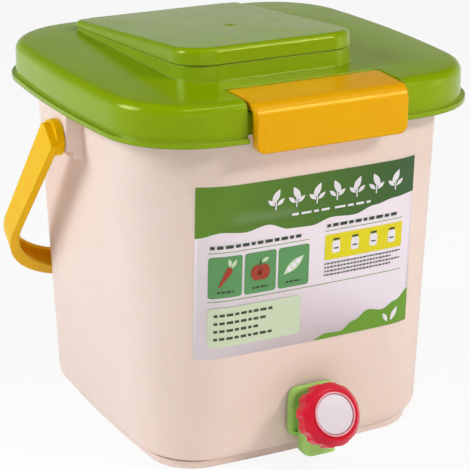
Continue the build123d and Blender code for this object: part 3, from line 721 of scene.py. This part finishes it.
@dataclass
class FrontLabel:
    """The printed film on the front wall: a plain design of waves, sprouts and bars, in mm."""

    left: float = -84.8
    right: float = 77.0
    bottom: float = 85.5
    top: float = 205.9
    glue: float = 0.05
    thickness: float = 0.25
    ink_step: float = 0.05
    column: float = 3.0
    # The green head and the hill: how far in they start, and the rises of their wavy edges.
    head_depth: float = 34.0
    head_rises: Sequence[float] = (-1.0, 2.2, 0.6, 3.4, -1.6, -2.2, 1.4, 0.4, 4.6, 7.4, 8.6)
    hill_start: float = 84.0
    hill_rises: Sequence[float] = (0.0, 3.6, 3.0, 9.0, 15.0, 13.0, 17.5, 24.0)
    wave_steps: int = 12
    # The row of sprouts in the head, and the lengths of the bars below it, with a gap at the zero.
    sprouts: int = 7
    sprout_place: Point = (54.0, 13.0)
    sprout_pitch: float = 15.2
    sprout_lean: float = 28.0
    head_bars: Sequence[float] = (5.0, 7.4, 3.6, 6.2, 0.0, 8.0, 4.4, 6.0, 3.2)
    head_bars_place: Point = (66.0, 27.0)
    # The blocks below: how far in from the left and up from the bottom, and their widths and heights.
    margin: float = 8.0
    tiles_up: float = 43.0
    tile: Size = (23.0, 29.0)
    tile_pitch: float = 24.6
    panel_place: Point = (92.0, 57.5)
    panel: Size = (61.0, 18.0)
    jars: int = 4
    jar_pitch: float = 14.6
    note_box: Size = (67.0, 28.0)
    # The heights of the bars that stand where words would be.
    title: float = 2.2
    note: float = 1.9
    caption: float = 1.3
    small_print: float = 1.0
    wall: FrontWall = field(default_factory=FrontWall)
    printed: dict[Ink, list[Outline]] = field(default_factory=dict)

    def add(self, ink: Ink, *outlines: Outline) -> None:
        """Puts outlines in one ink."""
        self.printed.setdefault(ink, []).extend(outlines)

    def columns(self) -> list[float]:
        """The cuts across the film that let it follow the wall."""
        count = round((self.right - self.left) / self.column)
        return [self.left + (self.right - self.left) * i / count for i in range(1, count)]

    def sheet(self, name: str, outlines: list[Outline], out: float) -> Piece:
        """Lays flat outlines on the wall.

        Args:
            name: the piece's name.
            outlines: closed outlines, x across and z up.
            out: distance of the sheet in front of the wall.

        Returns:
            The new object.
        """
        mesh = bmesh.new()
        for outline in outlines:
            corners = [mesh.verts.new((x, 0.0, z)) for x, z in outline]
            for triangle in tessellate_polygon([[Vector((x, z, 0.0)) for x, z in outline]]):
                mesh.faces.new([corners[i] for i in triangle])
        for x in self.columns():
            everything = mesh.verts[:] + mesh.edges[:] + mesh.faces[:]
            bmesh.ops.bisect_plane(mesh, geom=everything, plane_co=(x, 0, 0), plane_no=(1, 0, 0))
        for face in mesh.faces:
            face.normal_update()
            if face.normal.y > 0:
                face.normal_flip()
        for vertex in mesh.verts:
            vertex.co = self.wall.at(vertex.co.x, vertex.co.z, out)
        data = bpy.data.meshes.new(name)
        mesh.to_mesh(data)
        mesh.free()
        data.shade_smooth()
        return put_in_scene(name, data)

    def film(self) -> Piece:
        """Makes the film itself, with its thickness turned back to the wall.

        Returns:
            The new object.
        """
        face = bar(self.left, self.bottom, self.right - self.left, self.top - self.bottom)
        piece = self.sheet("label_film", [face], self.glue + self.thickness)
        thick = piece.modifiers.new("thickness", "SOLIDIFY")
        thick.thickness = mm(self.thickness)
        thick.offset = -1.0
        return piece

    def build(self) -> list[Piece]:
        """Makes the film and every ink on it.

        Returns:
            The film and the inks.
        """
        self.draw()
        film = self.film()
        film.data.materials.append(INKS[Ink.PAPER].material())
        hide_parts("front_label")
        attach(film, "bin")
        pieces = [film]
        for ink, outlines in self.printed.items():
            out = self.glue + self.thickness + self.ink_step * ink.value
            piece = self.sheet(f"label_ink_{ink.name.lower()}", outlines, out)
            piece.data.materials.append(INKS[ink].material())
            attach(piece, "bin")
            pieces.append(piece)
        return pieces

    def draw(self) -> None:
        """Composes the design."""
        head = self.wave(self.left, self.right, self.top - self.head_depth, self.head_rises)
        self.add(Ink.GREEN, [(self.right, self.top), (self.left, self.top)] + head)
        hill = self.wave(self.left + self.hill_start, self.right, self.bottom, self.hill_rises)
        self.add(Ink.LEAF, hill + [(self.right, self.bottom)])
        self.heading()
        self.kitchen_tiles()
        self.yellow_panel()
        self.notes()

    def wave(self, x0: float, x1: float, level: float, heights: Sequence[float]) -> Outline:
        """A soft wavy line through evenly spaced heights.

        Args:
            x0: start across.
            x1: end across.
            level: height that the waves are measured from.
            heights: rises above the level.

        Returns:
            The points from x0 to x1.
        """
        points = []
        for i in range(len(heights) - 1):
            for step in range(self.wave_steps):
                share = step / self.wave_steps
                soft = (1 - math.cos(math.pi * share)) / 2
                x = x0 + (x1 - x0) * (i + share) / (len(heights) - 1)
                points.append((x, level + heights[i] + (heights[i + 1] - heights[i]) * soft))
        return points + [(x1, level + heights[-1])]

    def heading(self) -> None:
        """Prints the row of sprouts and the bars below it."""
        for index in range(self.sprouts):
            x = self.left + self.sprout_place[0] + index * self.sprout_pitch
            z = self.top - self.sprout_place[1]
            lean = self.sprout_lean if index % 2 else -self.sprout_lean
            self.add(
                Ink.WHITE,
                leaf(x, z + 1.0, 11.5, 4.6, 90.0 + lean), leaf(x + 3.4, z - 3.0, 7.0, 2.8, 40.0),
                leaf(x - 3.4, z - 3.0, 7.0, 2.8, 140.0), bar(x - 0.45, z - 8.2, 0.9, 9.0),
            )
        x = self.left + self.head_bars_place[0]
        for width in self.head_bars:
            if width:
                self.add(Ink.WHITE, bar(x, self.top - self.head_bars_place[1], width, 1.6))
            x += width + 2.0

    def kitchen_tiles(self) -> None:
        """Prints three tall green tiles with plain garden produce, between two rules."""
        x0, z0 = self.left + self.margin, self.bottom + self.tiles_up
        width, height = self.tile
        self.rule(x0, z0 + 31.5, 72.0)
        self.text_line(self.left + self.margin + 1.0, z0 + 34.4, 66.0, self.title)
        for index, motif in enumerate((carrot, apple, pod)):
            x = x0 + index * self.tile_pitch
            self.add(Ink.TILE, rounded(x, z0, width, height, 2.0))
            for ink, outline in motif(x + width / 2, z0 + 16.5):
                self.add(ink, outline)
            self.text_line(x + 6.0, z0 + 3.4, 11.0, self.caption)
        self.rule(x0, z0 - 2.6, 146.0)

    def yellow_panel(self) -> None:
        """Prints a yellow strip with a row of jars, and small print under it."""
        x0, z0 = self.left + self.panel_place[0], self.bottom + self.panel_place[1]
        width, height = self.panel
        self.rule(x0, z0 + 20.5, width)
        self.text_line(x0 + 1.0, z0 + 23.4, 56.0, self.title)
        self.add(Ink.YELLOW, rounded(x0, z0, width, height, 1.2))
        for index in range(self.jars):
            x = x0 + 8.5 + index * self.jar_pitch
            self.add(Ink.WHITE, rounded(x - 3.0, z0 + 4.4, 6.0, 8.6, 1.4))
            self.add(Ink.DARK, bar(x - 2.4, z0 + 13.4, 4.8, 1.4), bar(x - 1.8, z0 + 7.2, 3.6, 1.0))
        for row in range(4):
            self.text_line(x0, z0 - 3.2 - row * 2.7, 60.0 - 7.0 * (row % 2), self.small_print)

    def notes(self) -> None:
        """Prints a pale panel of bars over a green drop, and two leaves on the hill."""
        x0, z0 = self.left + self.margin, self.bottom + self.margin
        width, height = self.note_box
        self.add(Ink.PALE, rounded(x0, z0, width, height, 3.4))
        for row in range(4):
            self.text_line(x0 + 4.0, z0 + 21.6 - row * 5.6, 42.0 - 5.0 * (row % 3), self.note)
        self.add(Ink.GREEN, drop(x0 + 57.0, z0 + 12.0, 6.0))
        self.add(Ink.WHITE, leaf(self.right - 12.0, self.bottom + 8.0, 11.0, 4.0, 60.0))
        self.add(Ink.WHITE, leaf(self.right - 19.0, self.bottom + 6.4, 8.0, 3.0, 120.0))

    def rule(self, x: float, z: float, width: float) -> None:
        """Prints a thin green line."""
        self.add(Ink.LEAF, bar(x, z, width, 0.5))

    def text_line(self, x: float, z: float, width: float, height: float) -> None:
        """Prints a row of short bars, of five mixed lengths, where a line of words would go.

        Args:
            x: left end.
            z: lower edge.
            width: length of the row.
            height: height of the bars.
        """
        start, index = x, 0
        while x < start + width:
            length = height * (1.3 + 1.1 * ((index * 7) % 5) / 4)
            self.add(Ink.DARK, bar(x, z, min(length, start + width - x), height))
            x += length + height * 0.7
            index += 1


def bar(x: float, z: float, width: float, height: float) -> Outline:
    """A rectangle from its lower left corner."""
    return [(x, z), (x + width, z), (x + width, z + height), (x, z + height)]


def turned(x: float, z: float, u: float, v: float, lean: float) -> Point:
    """A point given by its distances along and across a direction.

    Args:
        x: centre across.
        z: centre up.
        u: distance along the direction.
        v: distance to the left of it.
        lean: the direction, in degrees from x.

    Returns:
        The point across and up.
    """
    cos, sin = math.cos(math.radians(lean)), math.sin(math.radians(lean))
    return x + u * cos - v * sin, z + u * sin + v * cos


def rounded(x: float, z: float, width: float, height: float, radius: float) -> Outline:
    """A rectangle with round corners.

    Args:
        x: left edge.
        z: lower edge.
        width: size across.
        height: size up.
        radius: radius of the corners.

    Returns:
        The outline.
    """
    steps, quarter = 4, 90.0
    near, far = x + radius, x + width - radius
    low, high = z + radius, z + height - radius
    points = []
    for cx, cz, start in ((far, low, -90), (far, high, 0), (near, high, 90), (near, low, 180)):
        for step in range(steps + 1):
            angle = math.radians(start + step * quarter / steps)
            points.append((cx + radius * math.cos(angle), cz + radius * math.sin(angle)))
    return points


def oval(x: float, z: float, across: float, up: float, lean: float = 0.0) -> Outline:
    """An ellipse.

    Args:
        x: centre across.
        z: centre up.
        across: half its width.
        up: half its height.
        lean: its turn, in degrees.

    Returns:
        The outline.
    """
    steps = 20
    angles = [math.tau * step / steps for step in range(steps)]
    return [turned(x, z, across * math.cos(a), up * math.sin(a), lean) for a in angles]


def leaf(x: float, z: float, length: float, width: float, lean: float) -> Outline:
    """A leaf with a point at each end.

    Args:
        x: centre across.
        z: centre up.
        length: size from point to point.
        width: size across its middle.
        lean: the direction of its length, in degrees from x.

    Returns:
        The outline.
    """
    steps = 9
    points = []
    for side in (1, -1):
        for step in range(steps):
            share = step / steps
            along = side * length * (0.5 - share)
            points.append(turned(x, z, along, side * width / 2 * math.sin(math.pi * share), lean))
    return points


def drop(x: float, z: float, radius: float) -> Outline:
    """A drop of liquid with its point up.

    Args:
        x: centre of its round across.
        z: centre of its round up.
        radius: radius of the round.

    Returns:
        The outline.
    """
    steps, start, sweep, point = 23, -240, 300, 2.1
    points = []
    for step in range(steps + 1):
        angle = math.radians(start + step * sweep / steps)
        points.append((x + radius * math.cos(angle), z + radius * math.sin(angle)))
    return points + [(x, z + point * radius)]


def carrot(x: float, z: float) -> Motif:
    """A plain carrot with two leaves.

    Args:
        x: centre across.
        z: centre up.

    Returns:
        Its outlines with their inks.
    """
    corners = ((-5.0, -8.4), (-4.0, -8.8), (4.6, 1.4), (3.8, 4.2), (0.8, 4.6))
    return [
        (Ink.RED, [(x + across, z + up) for across, up in corners]),
        (Ink.PALE, leaf(x + 5.6, z + 6.8, 7.0, 2.6, 60.0)),
        (Ink.PALE, leaf(x + 2.6, z + 7.6, 6.4, 2.4, 100.0)),
    ]


def apple(x: float, z: float) -> Motif:
    """A plain apple with a stalk and a leaf.

    Args:
        x: centre across.
        z: centre up.

    Returns:
        Its outlines with their inks.
    """
    return [
        (Ink.RED, oval(x - 2.4, z - 2.0, 4.6, 5.6, 6.0)),
        (Ink.RED, oval(x + 2.4, z - 2.0, 4.6, 5.6, -6.0)),
        (Ink.DARK, bar(x - 0.4, z + 3.0, 0.8, 4.2)),
        (Ink.PALE, leaf(x + 3.4, z + 6.4, 6.0, 2.6, 25.0)),
    ]


def pod(x: float, z: float) -> Motif:
    """A plain open pod with three peas.

    Args:
        x: centre across.
        z: centre up.

    Returns:
        Its outlines with their inks.
    """
    lean, pitch, pea = 38.0, 4.2, 1.8
    peas = [oval(*turned(x, z - 1.0, pitch * step, 0.0, lean), pea, pea) for step in (-1, 0, 1)]
    return [(Ink.PALE, leaf(x, z - 1.0, 19.0, 6.4, lean))] + [(Ink.WHITE, outline) for outline in peas]


@dataclass
class Assembly:
    """A sub-assembly of moulded parts; faces that meet at less than its crease look smooth."""

    parts: Sequence[tuple[str, Finish]] = ()
    crease: float = 32.0

    def build(self, materials: Materials) -> list[Piece]:
        """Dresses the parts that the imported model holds.

        Args:
            materials: finished materials by name.

        Returns:
            The dressed parts.
        """
        return [MouldedPart(node, finish, self.crease).dress(materials) for node, finish in self.parts]


@dataclass
class Bucket(Assembly):
    """The bucket, its strainer, the lid's hinge pins and its label."""

    parts: Sequence[tuple[str, Finish]] = (
        ("bucket_body", BUCKET_PLASTIC), ("strainer_plate", STRAINER_PLASTIC), ("lid_hinge_pins", WIRE),
    )
    label: FrontLabel = field(default_factory=FrontLabel)

    def build(self, materials: Materials) -> list[Piece]:
        """Dresses the bucket's parts and prints its label.

        Args:
            materials: finished materials by name.

        Returns:
            The dressed parts and the label's film and inks.
        """
        return super().build(materials) + self.label.build()


@dataclass
class Lid(Assembly):
    """The lid with its seal, latch, hatch and pins."""

    parts: Sequence[tuple[str, Finish]] = (
        ("lid_shell", LID_PLASTIC), ("lid_gasket", SILICONE), ("front_latch", LATCH_PLASTIC),
        ("latch_pin", WIRE), ("hatch_cap", LID_PLASTIC), ("hatch_gasket", SILICONE),
        ("hatch_hinge_pin", WIRE),
    )


@dataclass
class Handle(Assembly):
    """The carrying handle."""

    parts: Sequence[tuple[str, Finish]] = (("bail_handle", HANDLE_PLASTIC),)


@dataclass
class DrainTap(Assembly):
    """The tap with its washers, nut, valve and knob, and a bead on the knob's ring; sizes in mm."""

    parts: Sequence[tuple[str, Finish]] = (
        ("tap_body", TAP_PLASTIC), ("tap_lock_nut", TAP_PLASTIC), ("tap_bonnet_ring", TAP_PLASTIC),
        ("tap_outer_gasket", NITRILE), ("tap_inner_gasket", NITRILE), ("plug_o_rings", NITRILE),
        ("tap_plug", PLUG_PLASTIC), ("tap_knob", KNOB_PLASTIC), ("knob_screw", WIRE),
        ("knob_cap_disc", DISC_PLASTIC),
    )
    bead_radius: float = 14.4
    bead_round: float = 0.75
    bead_sunk: float = 0.5
    bead_steps: int = 96
    bead_sides: int = 16

    def build(self, materials: Materials) -> list[Piece]:
        """Dresses the tap's parts and adds the bead.

        Args:
            materials: finished materials by name.

        Returns:
            The dressed parts and the bead.
        """
        return super().build(materials) + [self.bead()]

    def bead(self) -> Piece:
        """Rounds the ring round the disc with a bead that lies half sunk in it.

        Returns:
            The bead.
        """
        turn = next(joint for joint in frame["joints"] if joint["name"] == "tap_turn")
        pivot, axis = Vector(turn["pos_m"]), Vector(turn["axis"]).normalized()
        top = max((vertex.co - pivot).dot(axis) for vertex in frame["nodes"]["tap_knob"].data.vertices)
        centre = pivot + axis * (top - mm(self.bead_sunk))
        side = Vector((1.0, 0.0, 0.0))
        up = axis.cross(side)
        round_angles = [math.tau * part / self.bead_sides for part in range(self.bead_sides)]
        mesh = bmesh.new()
        rings = []
        for step in range(self.bead_steps):
            angle = math.tau * step / self.bead_steps
            out = side * math.cos(angle) + up * math.sin(angle)
            rings.append([
                mesh.verts.new(
                    centre + out * mm(self.bead_radius + self.bead_round * math.cos(about))
                    + axis * mm(self.bead_round * math.sin(about))
                )
                for about in round_angles
            ])
        for step, ring in enumerate(rings):
            beyond = rings[(step + 1) % self.bead_steps]
            for part in range(self.bead_sides):
                after = (part + 1) % self.bead_sides
                mesh.faces.new((ring[part], ring[after], beyond[after], beyond[part])).smooth = True
        bmesh.ops.recalc_face_normals(mesh, faces=mesh.faces)
        data = bpy.data.meshes.new("knob_ring_bead")
        mesh.to_mesh(data)
        mesh.free()
        # The bead's pale pink is a painted highlight round the ring, not wear.
        data.materials.append(BEAD_PAINTED_HIGHLIGHT.material())
        bead = put_in_scene("knob_ring_bead", data)
        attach(bead, "tap_valve")
        return bead


@dataclass(frozen=True)
class Softbox:
    """A rectangular softbox that faces the bin; sizes in metres, power in watts."""

    name: str
    place: Place
    size: Size
    power: float
    colour: str = "fffbf8"
    aim: Place = (0, 0, 0.15)

    def hang(self) -> None:
        """Makes the lamp and turns it to the bin."""
        data = bpy.data.lights.new(self.name, "AREA")
        data.shape = "RECTANGLE"
        data.size, data.size_y = self.size
        data.energy = self.power
        data.color = linear(self.colour)[:3]
        lamp = put_in_scene(self.name, data)
        lamp.location = self.place
        lamp.rotation_euler = (Vector(self.aim) - Vector(self.place)).to_track_quat("-Z", "Y").to_euler()


@dataclass
class Studio:
    """Pale floor, white background, soft lamps and the camera; sizes in metres."""

    camera_place: Place = (-0.583617, -1.123620, 0.571403)
    azimuth: float = -27.5
    elevation: float = 19.4
    lens: float = 143.45
    sensor: float = 36.0
    floor_size: float = 12.0
    # How white the floor is where it is only looked at, which leaves its shadow room to show.
    floor_glow: float = 0.90
    # The room's light by how far up a ray points: full up to wall_top, and least from ceiling_start.
    wall_top: float = 0.10
    ceiling_start: float = 0.42
    wall_light: float = 0.52
    ceiling_light: float = 0.05
    lamps: Sequence[Softbox] = (
        Softbox("key_softbox", (-1.32, 0.35, 0.90), (0.60, 0.60), 15.0, "f6fbff"),
        Softbox("top_strip", (0.12, -0.62, 1.50), (1.3, 0.16), 5.5, "ffffff"),
        Softbox("side_softbox", (1.75, -1.05, 0.55), (0.9, 1.2), 4.5),
        Softbox("front_softbox", (0.85, -1.35, 1.25), (0.5, 0.30), 13.5),
        Softbox("fill_softbox", (-0.55, -2.2, 0.50), (2.0, 1.4), 7.0),
    )

    def build(self) -> None:
        """Builds the whole set."""
        self.floor()
        self.world()
        for lamp in self.lamps:
            lamp.hang()
        self.camera()

    def floor(self) -> None:
        """Lays a plain pale floor of matt card that keeps the shadow and looks white to the camera."""
        material, tree = new_tree("card_white_matt_rolled")
        diffuse = add_node(tree, "ShaderNodeBsdfDiffuse", {"Color": linear("f2f0ee")})
        glow = add_node(tree, "ShaderNodeEmission", {"Color": linear("ffffff"), "Strength": 1.0})
        path = add_node(tree, "ShaderNodeLightPath")
        seen = add_node(
            tree, "ShaderNodeMath",
            {0: path.outputs["Is Camera Ray"], 1: path.outputs["Is Glossy Ray"]}, operation="MAXIMUM",
        )
        through = add_node(
            tree, "ShaderNodeMath", {0: seen.outputs[0], 1: path.outputs["Is Transmission Ray"]},
            operation="MAXIMUM",
        )
        share = add_node(
            tree, "ShaderNodeMath", {0: through.outputs[0], 1: self.floor_glow}, operation="MULTIPLY"
        )
        mix = add_node(
            tree, "ShaderNodeMixShader", {0: share.outputs[0], 1: diffuse.outputs[0], 2: glow.outputs[0]}
        )
        add_node(tree, "ShaderNodeOutputMaterial", {"Surface": mix.outputs[0]})
        half = self.floor_size / 2
        corners = [(-half, -half, 0), (half, -half, 0), (half, half, 0), (-half, half, 0)]
        data = bpy.data.meshes.new("floor")
        data.from_pydata(corners, [], [(0, 1, 2, 3)])
        data.materials.append(material)
        floor = put_in_scene("floor", data)

    def world(self) -> None:
        """Surrounds the set with a pale room, bright round its walls and dimmer overhead."""
        world = bpy.data.worlds.new("studio")
        bpy.context.scene.world = world
        world.use_nodes = True
        tree = world.node_tree
        tree.nodes.clear()
        toward = add_node(tree, "ShaderNodeTexCoord").outputs["Generated"]
        rise = add_node(tree, "ShaderNodeSeparateXYZ", {"Vector": toward})
        level = add_node(
            tree, "ShaderNodeMapRange",
            {
                VALUE: rise.outputs["Z"], FROM_LOW: self.wall_top, FROM_HIGH: self.ceiling_start,
                TO_LOW: self.wall_light, TO_HIGH: self.ceiling_light,
            },
            interpolation_type="SMOOTHSTEP",
        )
        room = add_node(
            tree, "ShaderNodeBackground", {"Color": linear("ffffff"), "Strength": level.outputs[0]}
        )
        add_node(tree, "ShaderNodeOutputWorld", {"Surface": room.outputs[0]})

    def camera(self) -> None:
        """Sets the camera at the photograph's angle."""
        data = bpy.data.cameras.new("camera")
        data.lens, data.sensor_width = self.lens, self.sensor
        camera = put_in_scene("camera", data)
        turn, tilt = math.radians(self.azimuth), math.radians(self.elevation)
        level = math.cos(tilt)
        back = Vector((math.sin(turn) * level, -math.cos(turn) * level, math.sin(tilt)))
        camera.location = self.camera_place
        camera.rotation_euler = (-back).to_track_quat("-Z", "Y").to_euler()
        bpy.context.scene.camera = camera


def main() -> None:
    """Builds the bin's looks in order and reports each piece."""
    logging.basicConfig(level=logging.INFO)
    scene = bpy.context.scene
    scene.view_settings.view_transform = "Standard"
    materials: Materials = {}
    for assembly in (Bucket(), Lid(), Handle(), DrainTap()):
        for piece in assembly.build(materials):
            finish = piece.data.materials[0].name
            LOG.info("%s: %s in %s", type(assembly).__name__, piece.name, finish)
    Studio().build()
    bpy.context.view_layer.update()


if __name__ == "__main__":
    main()
